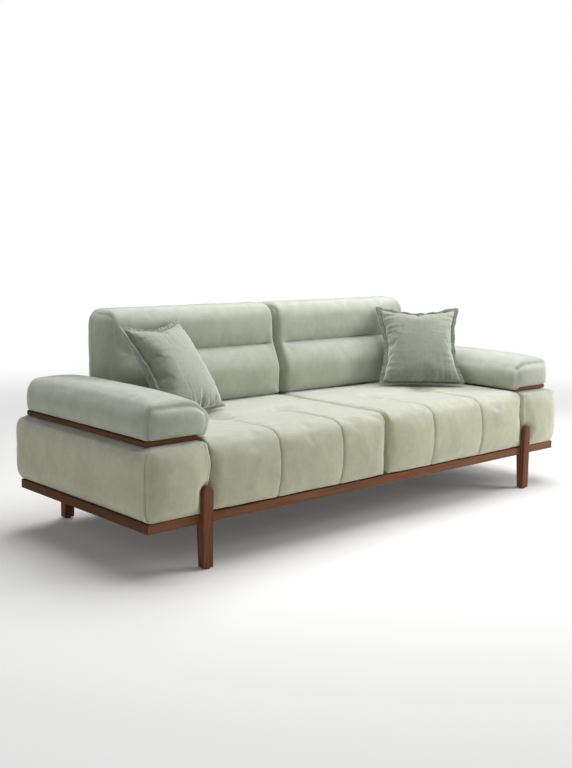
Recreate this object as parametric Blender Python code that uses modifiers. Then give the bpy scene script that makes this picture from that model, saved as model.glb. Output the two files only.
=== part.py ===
"""Upholstered sofa on a wooden plinth with four lapped legs and two loose scatter cushions.

Metres, +Z up. The origin is on the floor at the centre of the sofa. The front of the sofa faces -Y,
and left and right are as seen from the front: left is the side towards -X.
"""

import math

import bmesh
import bpy
from mathutils import Matrix, Vector

# Fits
GAP = 0.0003
WELD = 0.0001
POCKET_ROOM = 0.001
EDGE_BREAK = 0.001

# Plinth
PLINTH_LENGTH = 2.200
PLINTH_DEPTH = 0.814
PLINTH_BOTTOM = 0.150
PLINTH_HEIGHT = 0.032
PLINTH_TOP = PLINTH_BOTTOM + PLINTH_HEIGHT
RAIL_WIDTH = 0.045
MITRE_GAP = 0.0005
BEARER_X = 0.43
DUST_COVER = (2.12, 0.758, 0.001)

# Legs
LEG_WIDTH = 0.040
LEG_DEPTH_TOP = 0.040
LEG_DEPTH_FOOT = 0.030
LEG_PROUD = 0.022
LEG_HEAD_TOP = 0.277
LEG_HEAD_STEPS = 12
LEG_EDGE = 0.0025
LEG_MARGIN = 0.003
FRONT_LEG_X = 0.877
REAR_LEG_X = 0.905
GLIDE_HEIGHT = 0.004
GLIDE_RADIUS = 0.013
GLIDE_CHAMFER = 0.001
GLIDE_PIN_RADIUS = 0.002
GLIDE_PIN_TOP = 0.016
BOLT_RADIUS = 0.004
BOLT_HEAD_RADIUS = 0.0075
BOLT_HEAD_HEIGHT = 0.0055
BOLT_IN_LEG = 0.012
BOLT_CLEARANCE = 0.0005
BOLT_Z = PLINTH_BOTTOM + PLINTH_HEIGHT / 2

# Upholstery: each BULGES gives the swell at the low and high face of each axis
COVER = 0.0025
COVER_TO_FOAM = 0.0040
SEAT_SPLIT = 0.001
ARM_SEAM_X = 0.868
BODY_HALF_DEPTH = 0.405
BASE_Z = PLINTH_TOP + GAP
SEAT_TOP = 0.4255
SEAT_ROUND = 0.030
SEAT_BULGES = ((0, 0), (0.023, 0.012), (0, 0))
ARM_ROUND = 0.014
ARM_BULGES = ((0, 0.018), (0.022, 0.022), (0, 0))

# Seat interior
SEAT_FRAME_HEIGHT = 0.100
SEAT_FRAME_THICKNESS = 0.022
SEAT_FRAME_INSET = 0.026
SEAT_POCKET_TOP = 0.302
SPRING_RADIUS = 0.0018
SPRING_HALF_WIDTH = 0.022
SPRING_WAVES = 13
SPRING_RISE = 0.008
SPRINGS_PER_SEAT = 4

# Arms
ARM_OUTER = 1.100
ARM_TOP = 0.4195
ARM_BOARD = 0.018
ARM_PADDING = 0.026
TRIM_OUTER = 1.080
TRIM_FRONT = -0.365
TRIM_REAR = 0.399
TRIM_INNER = 0.860
TRIM_WIDTH = 0.024
TRIM_HEIGHT = 0.019
TRIM_BOTTOM = ARM_TOP + GAP
TRIM_TOP = TRIM_BOTTOM + TRIM_HEIGHT
TRIM_ROUND = 0.005
TRIM_END_STEPS = 8
PAD_BOTTOM = TRIM_TOP + GAP
PAD_INNER = 0.842
PAD_OUTER = 1.079
PAD_FRONT = -0.380
PAD_REAR = 0.399
PAD_SHOULDER = 0.546
PAD_ROUND = 0.034
PAD_BULGES = ((0.004, 0.012), (0.008, 0.010), (0, 0.024))
PAD_BOARD_INNER = 0.8735

# Backs: the outline in Y and Z, from the front bottom corner over the top to the rear bottom corner
BACK_BOTTOM = SEAT_TOP + GAP
BACK_OUTLINE = (
    (0.185, BACK_BOTTOM),
    (0.182, 0.490),
    (0.194, 0.560),
    (0.227, 0.637),
    (0.236, 0.700),
    (0.254, 0.758),
    (0.290, 0.792),
    (0.335, 0.806),
    (0.384, 0.800),
    (0.415, 0.770),
    (0.4255, 0.690),
    (0.4245, BACK_BOTTOM),
)
BACK_INNER = 0.0015
BACK_OUTER = 0.805
BACK_ROUND = 0.012
BACK_FRAME_Y = (0.335, 0.357)
BACK_FRAME_TOP = 0.735
BACK_FRAME_BAR = 0.060
BACK_FRAME_INSET = 0.040

# Scatter cushions: centre, tilt back about X, then turn about Z, in degrees
CUSHION_SIZE = 0.385
CUSHION_THICKNESS = 0.120
CUSHION_BORDER = 0.020
CUSHION_BORDER_THICKNESS = 0.006
CUSHION_PULL = 0.025
CUSHION_WALL = 0.0025
CUSHION_CELLS = 4
FILL_FLATNESS = 2.3
FILL_ROUNDNESS = 0.75
ZIP_LENGTH = 0.220
ZIP_WIDTH = 0.0018
HOLLOW_EDGE = 0.002
INSERT_EDGE = 0.001
INSERT_SLACK = 0.014
INSERT_SCALE = 0.93
CUSHION_POSES = {
    "left": ((-0.664, 0.055, 0.599), -34.0, 20.6),
    "right": ((0.680, 0.033, 0.604), -32.5, -40.2),
}

PALETTE = {
    "wood": ((0.130, 0.052, 0.026), 0.42, 0.0),
    "inner_wood": ((0.560, 0.400, 0.240), 0.70, 0.0),
    "seat_fabric": ((0.430, 0.450, 0.330), 0.90, 0.0),
    "back_fabric": ((0.370, 0.410, 0.330), 0.90, 0.0),
    "cushion_fabric": ((0.240, 0.280, 0.220), 0.85, 0.0),
    "foam": ((0.750, 0.720, 0.600), 0.95, 0.0),
    "steel": ((0.550, 0.550, 0.560), 0.35, 1.0),
    "nylon": ((0.050, 0.050, 0.050), 0.50, 0.0),
    "cambric": ((0.020, 0.020, 0.020), 0.95, 0.0),
}


def clear_scene():
    for obj in list(bpy.data.objects):
        bpy.data.objects.remove(obj, do_unlink=True)


def collection(name, hidden=False):
    found = bpy.data.collections.new(name)
    found.hide_render = hidden
    bpy.context.scene.collection.children.link(found)
    return found


def finish_object(obj, name, slot):
    """Names a part, puts it in the sofa's collection and gives it its own material."""
    for home in list(obj.users_collection):
        home.objects.unlink(obj)
    PARTS.objects.link(obj)
    obj.name = name
    colour, roughness, metallic = PALETTE[slot]
    surface = bpy.data.materials.new(name)
    surface.use_nodes = True
    shader = surface.node_tree.nodes["Principled BSDF"]
    shader.inputs["Base Color"].default_value = (*colour, 1.0)
    shader.inputs["Roughness"].default_value = roughness
    shader.inputs["Metallic"].default_value = metallic
    obj.data.materials.clear()
    obj.data.materials.append(surface)
    return obj


def make_cutter(obj):
    for home in list(obj.users_collection):
        home.objects.unlink(obj)
    CUTTERS.objects.link(obj)
    obj.hide_render = True
    obj.display_type = "WIRE"
    return obj


def loose_object(data):
    obj = bpy.data.objects.new("piece", data)
    bpy.context.scene.collection.objects.link(obj)
    return obj


def baked(obj):
    """The object as a mesh object with its modifiers or curve settings applied and its caps welded."""
    graph = bpy.context.evaluated_depsgraph_get()
    mesh = bpy.data.meshes.new_from_object(obj.evaluated_get(graph))
    bm = bmesh.new()
    bm.from_mesh(mesh)
    bmesh.ops.remove_doubles(bm, verts=bm.verts, dist=WELD)
    bm.to_mesh(mesh)
    bm.free()
    mesh.transform(obj.matrix_world)
    bpy.data.objects.remove(obj, do_unlink=True)
    return loose_object(mesh)


def boolean(obj, cutter, operation="DIFFERENCE"):
    cut = obj.modifiers.new(operation.title(), "BOOLEAN")
    cut.operation = operation
    cut.solver = "EXACT"
    cut.object = make_cutter(cutter)
    return obj


def bevel(obj, width, segments=1):
    edge = obj.modifiers.new("Bevel", "BEVEL")
    edge.width = width
    edge.segments = segments
    edge.limit_method = "ANGLE"
    edge.angle_limit = math.radians(40)
    return obj


def smooth(obj, angle=40):
    obj.data.shade_smooth()
    obj.data.set_sharp_from_angle(angle=math.radians(angle))
    return obj


def block(low, high):
    """A box between two corners, with its scale applied."""
    low = Vector(low)
    high = Vector(high)
    bpy.ops.mesh.primitive_cube_add(size=1, location=(low + high) / 2)
    obj = bpy.context.object
    obj.data.transform(Matrix.Diagonal((*(high - low), 1)))
    return obj


def rod(radius, start, end, sides=16):
    """A cylinder from one point to another."""
    start = Vector(start)
    run = Vector(end) - start
    bpy.ops.mesh.primitive_cylinder_add(vertices=sides, radius=radius, depth=run.length)
    obj = bpy.context.object
    obj.rotation_mode = "QUATERNION"
    obj.rotation_quaternion = run.to_track_quat("Z", "Y")
    obj.location = start + run / 2
    return obj


def plate(thickness, rounding=0.0, inset=0.0):
    """A 2D curve with nothing drawn in it yet, which will be filled, extruded and rounded at its edges."""
    data = bpy.data.curves.new("plate", "CURVE")
    data.dimensions = "2D"
    data.fill_mode = "BOTH"
    data.extrude = thickness / 2 - rounding
    data.bevel_depth = rounding
    data.bevel_resolution = 1
    data.offset = -rounding - inset
    return data


def flat_outline(loops, thickness, rounding=0.0):
    """A plate of straight-sided loops; loops after the first are holes."""
    data = plate(thickness, rounding)
    for loop in loops:
        spline = data.splines.new("POLY")
        spline.points.add(len(loop) - 1)
        for point, (u, v) in zip(spline.points, loop):
            point.co = (u, v, 0, 1)
        spline.use_cyclic_u = True
    return loose_object(data)


def smooth_outline(loop, foot, thickness, rounding, inset):
    """A plate of one smooth loop, straight along its foot, which is at the height given."""
    data = plate(thickness, rounding, inset)
    spline = data.splines.new("BEZIER")
    spline.bezier_points.add(len(loop) - 1)
    spline.use_cyclic_u = True
    spline.resolution_u = 3
    for point, (u, v) in zip(spline.bezier_points, loop):
        kind = "VECTOR" if v == foot else "AUTO"
        point.co = (u, v, 0)
        point.handle_left_type = kind
        point.handle_right_type = kind
    return loose_object(data)


def arc(centre, radius, start, end, steps):
    """Points on an arc, with angles in degrees."""
    angles = [math.radians(start + (end - start) * i / steps) for i in range(steps + 1)]
    return [(centre[0] + radius * math.cos(a), centre[1] + radius * math.sin(a)) for a in angles]


def rectangle(low, high):
    return [low, (high[0], low[1]), high, (low[0], high[1])]


def gridded_box(stations):
    """A unit-free box cut at the stations given for each axis, whose first and last are its faces."""
    bm = bmesh.new()
    bmesh.ops.create_cube(bm, size=1)
    for axis, marks in enumerate(stations):
        span = marks[-1] - marks[0]
        middle = (marks[-1] + marks[0]) / 2
        for vert in bm.verts:
            vert.co[axis] = middle + vert.co[axis] * span
    for axis, marks in enumerate(stations):
        normal = Vector([float(i == axis) for i in range(3)])
        for mark in marks[1:-1]:
            everything = bm.verts[:] + bm.edges[:] + bm.faces[:]
            bmesh.ops.bisect_plane(bm, geom=everything, plane_co=normal * mark, plane_no=normal)
    return bm


def rounded_stations(low, high, radius, cells):
    """Cut places along one side: even cells between its two rounded ends."""
    inner = [low + radius + (high - low - 2 * radius) * i / cells for i in range(cells + 1)]
    return [low] + inner + [high]


def crowned_box(low, high, radius, bulges, powers, cells, span=None):
    """A box on a flat underside, with rounded upright and upper edges, whose faces swell in the middle.

    bulges gives the swell at the low and high face of each axis. powers says how flat each axis keeps
    that swell: 2 is a dome, and more is a plateau with a steeper edge. span narrows the swell to a
    stretch of X.
    """
    stations = [rounded_stations(low[a], high[a], radius, cells[a]) for a in range(3)]
    upright = high[2] - radius - low[2]
    stations[2] = [low[2] + upright * i / cells[2] for i in range(cells[2] + 1)] + [high[2]]
    ends = [(low[a], high[a]) for a in range(3)]
    if span:
        ends[0] = span
        stations[0] = sorted(set(stations[0]) | set(span))
    bm = gridded_box(stations)
    for vert in bm.verts:
        point = vert.co.copy()
        core = Vector([min(max(point[a], low[a] + radius), high[a] - radius) for a in range(3)])
        core.z = min(point.z, high[2] - radius)
        inside = all(low[a] + WELD < point[a] < high[a] - WELD for a in range(2))
        if not (inside and point.z < high[2] - WELD):
            point = core + (point - core).normalized() * radius
        reach = [(2 * point[a] - first - last) / (last - first) for a, (first, last) in enumerate(ends)]
        spread = [max(0.0, 1 - abs(reach[a]) ** powers[a]) for a in range(3)]
        for a in range(3):
            swell = bulges[a][0] if reach[a] < 0 else bulges[a][1]
            pull = max(-1.0, min(1.0, reach[a]))
            vert.co[a] = point[a] + swell * pull * spread[a - 1] * spread[a - 2]
    return bm


def mesh_object(bm, side=1):
    """An object from a bmesh; side -1 mirrors it in X."""
    if side < 0:
        for vert in bm.verts:
            vert.co.x = -vert.co.x
        bmesh.ops.reverse_faces(bm, faces=bm.faces)
    mesh = bpy.data.meshes.new("piece")
    bm.to_mesh(mesh)
    bm.free()
    return loose_object(mesh)


def opened_below(bm):
    """Takes the flat underside off a closed form, which leaves the surface of a cover."""
    bm.normal_update()
    floor = min(vert.co.z for vert in bm.verts)
    under = [f for f in bm.faces if f.normal.z < -0.99 and f.calc_center_median().z < floor + WELD]
    bmesh.ops.delete(bm, geom=under, context="FACES")
    return bm


def sewn_cover(obj, name, slot):
    """A thin shell from an open surface, solid on its inner side."""
    wall = obj.modifiers.new("Solidify", "SOLIDIFY")
    wall.thickness = COVER
    wall.offset = -1
    wall.use_rim = True
    return smooth(finish_object(obj, name, slot))


def side_x(side, near, far):
    """The low and high X of a stretch between two distances from the centre plane on one side."""
    return (side * near, side * far) if side > 0 else (side * far, side * near)


# Plinth


def plinth_rails():
    """Four rails mitred at the corners, bored for the leg bolts."""
    x = PLINTH_LENGTH / 2
    y = PLINTH_DEPTH / 2
    w = RAIL_WIDTH
    g = MITRE_GAP
    long_rail = [(-x, -y), (x, -y), (x - w, w - y), (w - x, w - y)]
    short_rail = [(-x, g - y), (w - x, w + g - y), (w - x, y - w - g), (-x, y - g)]
    for name, outline, turn, leg_x in (
        ("plinth_front_rail", long_rail, 0, FRONT_LEG_X),
        ("plinth_back_rail", long_rail, math.pi, REAR_LEG_X),
        ("plinth_left_rail", short_rail, 0, None),
        ("plinth_right_rail", short_rail, math.pi, None),
    ):
        rail = flat_outline([outline], PLINTH_HEIGHT)
        rail.location.z = PLINTH_BOTTOM + PLINTH_HEIGHT / 2
        rail.rotation_euler.z = turn
        bpy.context.view_layer.update()
        rail = finish_object(baked(rail), name, "wood")
        bevel(rail, EDGE_BREAK)
        if leg_x is None:
            continue
        out = -1 if turn == 0 else 1
        for side in (-1, 1):
            start = (side * leg_x, out * (y + w), BOLT_Z)
            end = (side * leg_x, out * (y - 2 * w), BOLT_Z)
            boolean(rail, rod(BOLT_RADIUS + BOLT_CLEARANCE, start, end))


def cross_bearers():
    reach = PLINTH_DEPTH / 2 - RAIL_WIDTH - GAP
    for name, side in (("cross_bearer_left", -1), ("cross_bearer_right", 1)):
        middle = side * BEARER_X
        low = (middle - RAIL_WIDTH / 2, -reach, PLINTH_BOTTOM)
        high = (middle + RAIL_WIDTH / 2, reach, PLINTH_TOP)
        bevel(finish_object(block(low, high), name, "inner_wood"), EDGE_BREAK)


def dust_cover():
    length, depth, thickness = DUST_COVER
    top = PLINTH_BOTTOM - GAP
    low = (-length / 2, -depth / 2, top - thickness)
    finish_object(block(low, (length / 2, depth / 2, top)), "dust_cover", "cambric")


# Legs


def leg_pattern():
    """One leg about the point on the floor under the middle of its outer face, which faces -Y."""
    shoulder = PLINTH_BOTTOM - GAP
    side_view = [
        (0, GLIDE_HEIGHT + GAP),
        (LEG_DEPTH_FOOT, GLIDE_HEIGHT + GAP),
        (LEG_DEPTH_TOP, shoulder),
        (LEG_PROUD - GAP, shoulder),
        (LEG_PROUD - GAP, LEG_HEAD_TOP),
        (0, LEG_HEAD_TOP),
    ]
    leg = flat_outline([side_view], LEG_WIDTH)
    leg.rotation_euler = (math.radians(90), 0, math.radians(90))
    bpy.context.view_layer.update()
    leg = baked(leg)
    half = LEG_WIDTH / 2
    head_arc = arc((0, LEG_HEAD_TOP - half), half, 0, 180, LEG_HEAD_STEPS)
    front_view = head_arc + [(-half, -half), (half, -half)]
    head = flat_outline([front_view], 4 * LEG_DEPTH_TOP)
    head.rotation_euler.x = math.radians(90)
    bpy.context.view_layer.update()
    boolean(leg, baked(head), "INTERSECT")
    bevel(leg, LEG_EDGE, 2)
    hole = BOLT_RADIUS + BOLT_CLEARANCE
    bored_to = LEG_PROUD - BOLT_IN_LEG - BOLT_CLEARANCE
    boolean(leg, rod(hole, (0, LEG_PROUD * 2, BOLT_Z), (0, bored_to, BOLT_Z), 12))
    foot = LEG_DEPTH_FOOT / 2
    pin_hole = GLIDE_PIN_RADIUS + BOLT_CLEARANCE
    boolean(leg, rod(pin_hole, (0, foot, -0.01), (0, foot, GLIDE_PIN_TOP + BOLT_CLEARANCE), 12))
    bpy.context.view_layer.update()
    return baked(leg)


def glide_profile():
    """A nail-on glide as a half section: the pin's top, down its side, out and down the disc."""
    bm = bmesh.new()
    places = [
        (0, GLIDE_PIN_TOP),
        (GLIDE_PIN_RADIUS, GLIDE_PIN_TOP),
        (GLIDE_PIN_RADIUS, GLIDE_HEIGHT),
        (GLIDE_RADIUS - GLIDE_CHAMFER, GLIDE_HEIGHT),
        (GLIDE_RADIUS, GLIDE_HEIGHT - GLIDE_CHAMFER),
        (GLIDE_RADIUS, 0),
        (0, 0),
    ]
    verts = [bm.verts.new((r, 0, z)) for r, z in places]
    for first, second in zip(verts, verts[1:]):
        bm.edges.new((first, second))
    return bm


def turned(obj, steps):
    lathe = obj.modifiers.new("Screw", "SCREW")
    lathe.steps = steps
    lathe.render_steps = steps
    lathe.use_merge_vertices = True
    lathe.merge_threshold = WELD
    return obj


def legs_and_fittings():
    """Four legs cut to one pattern, each with the bolt that holds it and the glide under it."""
    pattern = leg_pattern()
    outer_y = PLINTH_DEPTH / 2 + LEG_PROUD
    for row, leg_x, out in (("front", FRONT_LEG_X, -1), ("rear", REAR_LEG_X, 1)):
        for hand, side in (("left", -1), ("right", 1)):
            leg = loose_object(pattern.data.copy())
            leg.location = (side * leg_x, out * outer_y, 0)
            leg.rotation_euler.z = 0 if out < 0 else math.pi
            smooth(finish_object(leg, f"leg_{row}_{hand}", "wood"))
            glide = turned(mesh_object(glide_profile()), 20)
            glide.location = (side * leg_x, out * (outer_y - LEG_DEPTH_FOOT / 2), 0)
            smooth(finish_object(glide, f"glide_{row}_{hand}", "nylon"))
            leg_bolt(f"leg_bolt_{row}_{hand}", side * leg_x, out)
    bpy.data.objects.remove(pattern, do_unlink=True)


def leg_bolt(name, x, out):
    """A hexagon bolt from inside the plinth rail into the leg."""
    seat = out * (PLINTH_DEPTH / 2 - RAIL_WIDTH - GAP)
    tip = out * (PLINTH_DEPTH / 2 + BOLT_IN_LEG)
    back = seat - out * BOLT_HEAD_HEIGHT
    head = rod(BOLT_HEAD_RADIUS, (x, seat, BOLT_Z), (x, back, BOLT_Z), 6)
    shank = rod(BOLT_RADIUS, (x, (seat + back) / 2, BOLT_Z), (x, tip, BOLT_Z))
    smooth(finish_object(boolean(head, shank, "UNION"), name, "steel"))


# Seats


def seat_form(inset):
    """One seat: flat at the back where the back unit stands, swollen at the front."""
    low = (SEAT_SPLIT + inset, inset - BODY_HALF_DEPTH, BASE_Z)
    high = (ARM_SEAM_X - SEAT_SPLIT - inset, BODY_HALF_DEPTH - inset, SEAT_TOP - inset)
    span = (low[0], FRONT_LEG_X - LEG_WIDTH / 2 - LEG_MARGIN)
    return crowned_box(low, high, SEAT_ROUND - inset, SEAT_BULGES, (4, 2, 2), (5, 4, 2), span)


def spring(name, x):
    """A zigzag spring from the front rail of a seat frame to the back one, arched a little."""
    reach = BODY_HALF_DEPTH - SEAT_FRAME_INSET - SEAT_FRAME_THICKNESS / 2
    rest = BASE_Z + SEAT_FRAME_HEIGHT + SPRING_RADIUS + GAP
    data = bpy.data.curves.new(name, "CURVE")
    data.dimensions = "3D"
    data.bevel_depth = SPRING_RADIUS
    data.bevel_resolution = 0
    data.use_fill_caps = True
    wire = data.splines.new("POLY")
    wire.points.add(2 * SPRING_WAVES - 1)
    for wave in range(SPRING_WAVES):
        y = reach * (2 * wave / (SPRING_WAVES - 1) - 1)
        z = rest + SPRING_RISE * (1 - (y / reach) ** 2)
        turn = SPRING_HALF_WIDTH if wave % 2 else -SPRING_HALF_WIDTH
        wire.points[2 * wave].co = (x - turn, y, z, 1)
        wire.points[2 * wave + 1].co = (x + turn, y, z, 1)
    finish_object(loose_object(data), name, "steel")


def seats():
    """Each seat's timber frame, springs, foam and cover."""
    outer = BODY_HALF_DEPTH - SEAT_FRAME_INSET
    wall = SEAT_FRAME_THICKNESS
    near = SEAT_SPLIT + SEAT_FRAME_INSET
    far = ARM_SEAM_X - SEAT_SPLIT - SEAT_FRAME_INSET
    room = POCKET_ROOM
    for hand, side in (("left", -1), ("right", 1)):
        x_low, x_high = side_x(side, near, far)
        frame = flat_outline(
            [
                rectangle((x_low, -outer), (x_high, outer)),
                rectangle((x_low + wall, wall - outer), (x_high - wall, outer - wall)),
            ],
            SEAT_FRAME_HEIGHT,
        )
        frame.location.z = BASE_Z + SEAT_FRAME_HEIGHT / 2
        finish_object(frame, f"seat_{hand}_frame", "inner_wood")
        for i in range(SPRINGS_PER_SEAT):
            share = (i + 0.5) / SPRINGS_PER_SEAT
            spring(f"seat_{hand}_spring_{i + 1}", side * (near + wall + (far - near - 2 * wall) * share))
        foam = mesh_object(seat_form(COVER_TO_FOAM), side)
        low = (x_low - room, -outer - room, 0)
        pocket = block(low, (x_high + room, outer + room, SEAT_POCKET_TOP))
        smooth(finish_object(boolean(foam, pocket), f"seat_{hand}_foam", "foam"))
        cover = mesh_object(opened_below(seat_form(0)), side)
        sewn_cover(cover, f"seat_{hand}_cover", "seat_fabric")


# Arms


def arm_form(inset):
    """An arm base: swollen outwards and at both ends, and flat where the legs lap it."""
    low = (ARM_SEAM_X + inset, inset - BODY_HALF_DEPTH, BASE_Z)
    high = (ARM_OUTER - inset, BODY_HALF_DEPTH - inset, ARM_TOP - inset)
    span = (REAR_LEG_X + LEG_WIDTH / 2 + LEG_MARGIN, high[0])
    return crowned_box(low, high, ARM_ROUND - inset, ARM_BULGES, (2, 6, 2), (2, 6, 2), span)


def pad_form(inset):
    """An arm pad: crowned along its length, resting on the mouldings."""
    low = (PAD_INNER + inset, PAD_FRONT + inset, PAD_BOTTOM)
    high = (PAD_OUTER - inset, PAD_REAR - inset, PAD_SHOULDER - inset)
    return crowned_box(low, high, PAD_ROUND - inset, PAD_BULGES, (2, 8, 2), (2, 7, 1))


def arm_mouldings(hand, side):
    """The side and front mouldings of one arm, mitred where they meet, round at their free ends."""
    w = TRIM_WIDTH
    g = MITRE_GAP
    inner = TRIM_OUTER - w
    end = w / 2
    rear = arc((TRIM_OUTER - end, TRIM_REAR - end), end, 0, 180, TRIM_END_STEPS)
    tip = arc((TRIM_INNER + end, TRIM_FRONT + end), end, 90, 270, TRIM_END_STEPS)
    for name, outline in (
        ("side", [(inner, TRIM_FRONT + w + g), (TRIM_OUTER, TRIM_FRONT + g)] + rear),
        ("front", [(TRIM_OUTER, TRIM_FRONT), (inner, TRIM_FRONT + w)] + tip),
    ):
        moulding = flat_outline([[(side * x, y) for x, y in outline]], TRIM_HEIGHT, TRIM_ROUND)
        moulding.location.z = TRIM_BOTTOM + TRIM_HEIGHT / 2
        bpy.context.view_layer.update()
        smooth(finish_object(baked(moulding), f"arm_{hand}_{name}_moulding", "wood"))


def arms():
    """Each arm's carcass, padding and cover, and on top its mouldings, board, foam and pad cover."""
    reach = BODY_HALF_DEPTH - ARM_PADDING
    near = ARM_SEAM_X + ARM_PADDING
    far = ARM_OUTER - ARM_PADDING
    top = ARM_TOP - ARM_PADDING
    board = ARM_BOARD
    room = POCKET_ROOM
    for hand, side in (("left", -1), ("right", 1)):
        x_low, x_high = side_x(side, near, far)
        carcass = block((x_low, -reach, BASE_Z), (x_high, reach, top))
        hollow = block((x_low + board, board - reach, 0), (x_high - board, reach - board, top - board))
        finish_object(boolean(carcass, hollow), f"arm_{hand}_carcass", "inner_wood")
        padding = mesh_object(arm_form(COVER_TO_FOAM), side)
        pocket = block((x_low - room, -reach - room, 0), (x_high + room, reach + room, top + room))
        smooth(finish_object(boolean(padding, pocket), f"arm_{hand}_padding", "foam"))
        cover = mesh_object(opened_below(arm_form(0)), side)
        sewn_cover(cover, f"arm_{hand}_cover", "seat_fabric")
        arm_mouldings(hand, side)
        x_low, x_high = side_x(side, PAD_BOARD_INNER, TRIM_OUTER - TRIM_WIDTH - GAP)
        low = (x_low, TRIM_FRONT + TRIM_WIDTH + GAP, TRIM_BOTTOM)
        high = (x_high, TRIM_REAR - TRIM_WIDTH / 2, TRIM_TOP)
        finish_object(block(low, high), f"arm_{hand}_pad_board", "inner_wood")
        foam = mesh_object(pad_form(COVER_TO_FOAM), side)
        smooth(finish_object(foam, f"arm_{hand}_pad_foam", "foam"))
        cover = mesh_object(opened_below(pad_form(0)), side)
        sewn_cover(cover, f"arm_{hand}_pad_cover", "back_fabric")


# Backs


def back_form(side, inset):
    """A back unit: its side outline run along X, with rounded edges at the two side panels."""
    length = BACK_OUTER - BACK_INNER - 2 * inset
    form = smooth_outline(BACK_OUTLINE, BACK_BOTTOM, length, BACK_ROUND - inset, inset)
    form.rotation_euler = (math.radians(90), 0, math.radians(90))
    form.location.x = side * (BACK_INNER + BACK_OUTER) / 2
    bpy.context.view_layer.update()
    return baked(form)


def backs():
    """Each back unit's timber frame, foam and cover."""
    room = POCKET_ROOM
    y_low, y_high = BACK_FRAME_Y
    bar = BACK_FRAME_BAR
    for hand, side in (("left", -1), ("right", 1)):
        x_low, x_high = side_x(side, BACK_INNER + BACK_FRAME_INSET, BACK_OUTER - BACK_FRAME_INSET)
        low = BACK_BOTTOM + GAP
        frame = flat_outline(
            [
                rectangle((x_low, low), (x_high, BACK_FRAME_TOP)),
                rectangle((x_low + bar, low + bar), (x_high - bar, BACK_FRAME_TOP - bar)),
            ],
            y_high - y_low,
        )
        frame.rotation_euler.x = math.radians(90)
        frame.location.y = (y_low + y_high) / 2
        finish_object(frame, f"back_{hand}_frame", "inner_wood")
        foam = back_form(side, COVER_TO_FOAM)
        low = (x_low - room, y_low - room, 0)
        pocket = block(low, (x_high + room, y_high + room, BACK_FRAME_TOP + room))
        smooth(finish_object(boolean(foam, pocket), f"back_{hand}_foam", "foam"))
        cover = back_form(side, 0)
        bm = bmesh.new()
        bm.from_mesh(cover.data)
        opened_below(bm).to_mesh(cover.data)
        bm.free()
        sewn_cover(cover, f"back_{hand}_cover", "back_fabric")


# Scatter cushions


def cushion_form(filled, border, edge, thickness):
    """A cushion in the XZ plane about its centre, its sides pulled in between the corners.

    filled is half the size of its filling, and border the width of the flat edge left round that.
    """
    half = CUSHION_SIZE / 2
    marks = [filled * math.sin(math.radians(90) * i / CUSHION_CELLS) for i in range(CUSHION_CELLS + 1)]
    if border:
        marks.append(filled + border)
    row = [-m for m in marks[:0:-1]] + marks
    bm = gridded_box([row, [-edge / 2, edge / 2], row])
    for vert in bm.verts:
        x, y, z = vert.co
        fill = [max(0.0, 1 - abs(v / filled) ** FILL_FLATNESS) ** FILL_ROUNDNESS for v in (x, z)]
        swell = (thickness - edge) / 2 * fill[0] * fill[1]
        vert.co.y = y + math.copysign(swell, y)
        vert.co.x = x * (1 - CUSHION_PULL / half * (1 - (z / half) ** 2))
        vert.co.z = z * (1 - CUSHION_PULL / half * (1 - (x / half) ** 2))
    return mesh_object(bm)


def cushions():
    """Each scatter cushion's cover, open along its zip, and its insert, placed by one empty."""
    half = CUSHION_SIZE / 2
    filled = half - CUSHION_BORDER
    inside = filled - CUSHION_WALL
    thickness = CUSHION_THICKNESS - 2 * CUSHION_WALL
    for hand, (centre, tilt, turn) in CUSHION_POSES.items():
        place = bpy.data.objects.new(f"cushion_{hand}_place", None)
        PARTS.objects.link(place)
        place.location = centre
        place.rotation_euler = (math.radians(tilt), 0, math.radians(turn))
        cover = cushion_form(filled, CUSHION_BORDER, CUSHION_BORDER_THICKNESS, CUSHION_THICKNESS)
        hollow = cushion_form(inside, 0, HOLLOW_EDGE, thickness)
        low = (-ZIP_LENGTH / 2, -ZIP_WIDTH / 2, -half)
        zip_slit = block(low, (ZIP_LENGTH / 2, ZIP_WIDTH / 2, CUSHION_BORDER * 2 - half))
        insert = cushion_form(inside, 0, INSERT_EDGE, thickness - INSERT_SLACK)
        insert.data.transform(Matrix.Scale(INSERT_SCALE, 4))
        boolean(boolean(cover, hollow), zip_slit)
        smooth(finish_object(cover, f"cushion_{hand}_cover", "cushion_fabric"), 60)
        smooth(finish_object(insert, f"cushion_{hand}_insert", "foam"), 60)
        for piece in (cover, hollow, zip_slit, insert):
            piece.parent = place


clear_scene()
PARTS = collection("sofa_with_wooden_legs")
CUTTERS = collection("cutters", hidden=True)
plinth_rails()
cross_bearers()
dust_cover()
legs_and_fittings()
seats()
arms()
backs()
cushions()
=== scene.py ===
"""Looks of the sofa with wooden legs: upholstery, loose cushions, wood and the studio round them.

Metres, +Z up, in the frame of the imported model. Left is the side towards -X and the front faces -Y.
"""

import math

import bpy
import numpy as np
from mathutils import Euler, Matrix, Vector, noise
from mathutils.bvhtree import BVHTree


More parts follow.
